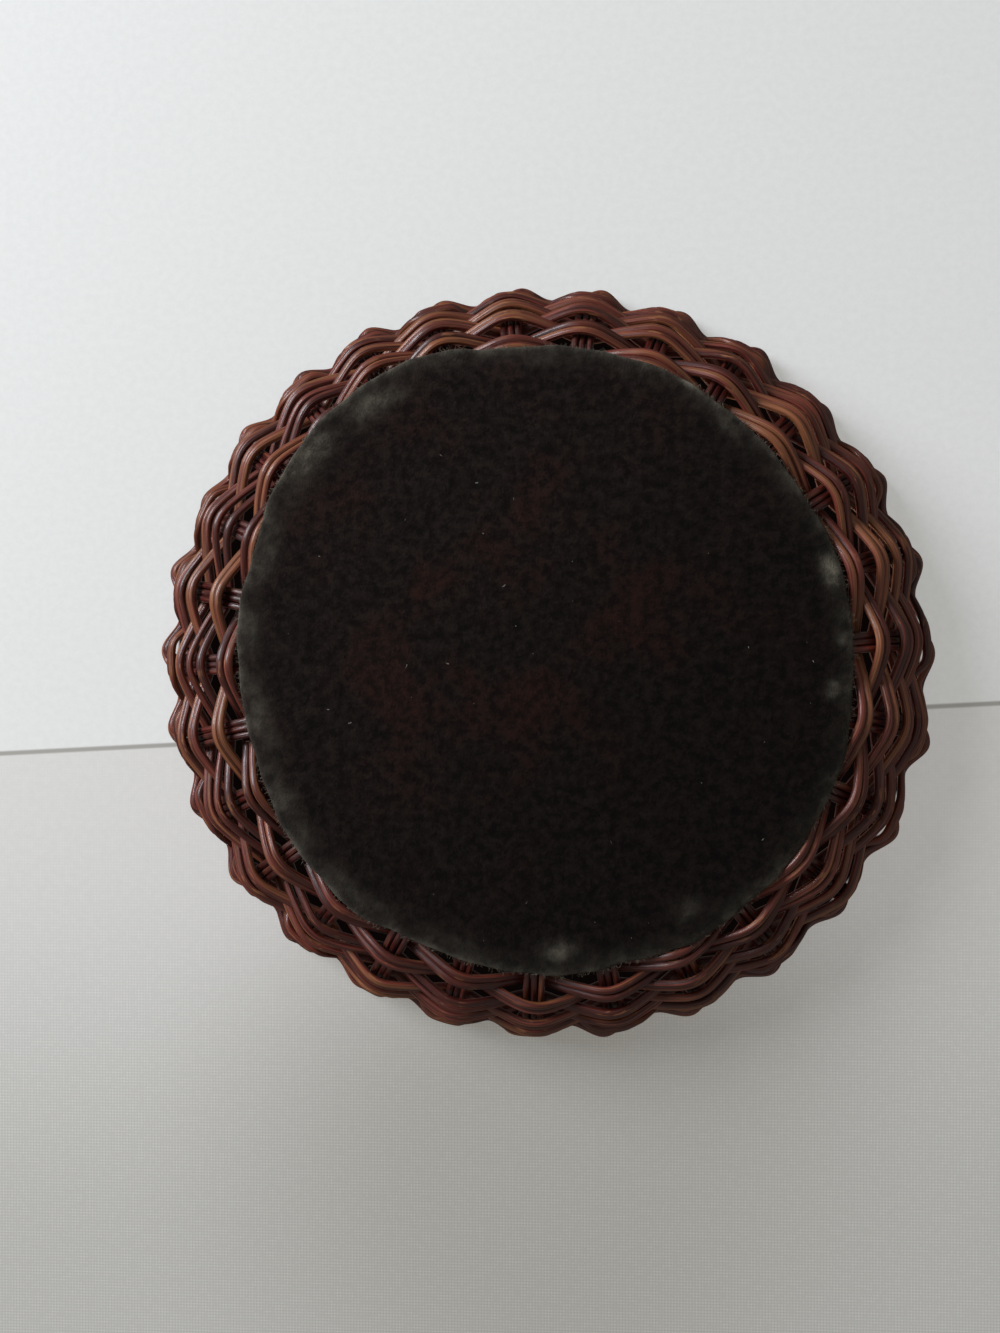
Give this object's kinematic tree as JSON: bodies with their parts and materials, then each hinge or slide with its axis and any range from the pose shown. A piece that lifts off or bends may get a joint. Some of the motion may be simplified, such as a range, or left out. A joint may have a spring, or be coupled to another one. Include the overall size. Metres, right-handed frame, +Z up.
{
  "type": "rattan bowl",
  "caption": "Shallow round rattan bowl with paired round canes woven over flat reed stakes, a trac border of bent-over stake ends, a wooden base board and a dark felt pad underneath.",
  "frame": {"origin": "middle of the felt pad's underside, on the surface that the bowl stands on", "axes": "+Z up along the bowl's axis, out of its open mouth; X and Y level"},
  "size_m": [0.244, 0.2365, 0.0393],
  "materials": {
    "felt": "dark brown-black wool felt, slightly worn at the edge",
    "base_wood": "dark red-brown stain under satin lacquer",
    "stake_rattan": "thin round reeds, red-brown stain under gloss lacquer",
    "cane_rattan": "round rattan canes, red-brown stain under gloss lacquer, worn amber at the bends"
  },
  "bodies": {
    "root": {"felt_pad": "felt", "base_board": "base_wood", "stake_01": "stake_rattan", "stake_02": "stake_rattan", "stake_03": "stake_rattan", "stake_04": "stake_rattan", "stake_05": "stake_rattan", "stake_06": "stake_rattan", "stake_07": "stake_rattan", "stake_08": "stake_rattan", "stake_09": "stake_rattan", "stake_10": "stake_rattan", "stake_11": "stake_rattan", "stake_12": "stake_rattan", "stake_13": "stake_rattan", "stake_14": "stake_rattan", "stake_15": "stake_rattan", "stake_16": "stake_rattan", "stake_17": "stake_rattan", "stake_18": "stake_rattan", "stake_19": "stake_rattan", "stake_20": "stake_rattan", "stake_21": "stake_rattan", "stake_22": "stake_rattan", "stake_23": "stake_rattan", "stake_24": "stake_rattan", "stake_25": "stake_rattan", "stake_26": "stake_rattan", "stake_27": "stake_rattan", "stake_28": "stake_rattan", "row_1_lower_cane": "cane_rattan", "row_1_upper_cane": "cane_rattan", "row_2_lower_cane": "cane_rattan", "row_2_upper_cane": "cane_rattan", "row_3_lower_cane": "cane_rattan", "row_3_upper_cane": "cane_rattan", "row_4_lower_cane": "cane_rattan", "row_4_upper_cane": "cane_rattan", "row_5_lower_cane": "cane_rattan", "row_5_upper_cane": "cane_rattan", "row_6_lower_cane": "cane_rattan", "row_6_upper_cane": "cane_rattan", "packing_lower_cane": "cane_rattan", "packing_upper_cane": "cane_rattan"}
  },
  "joints": []
}
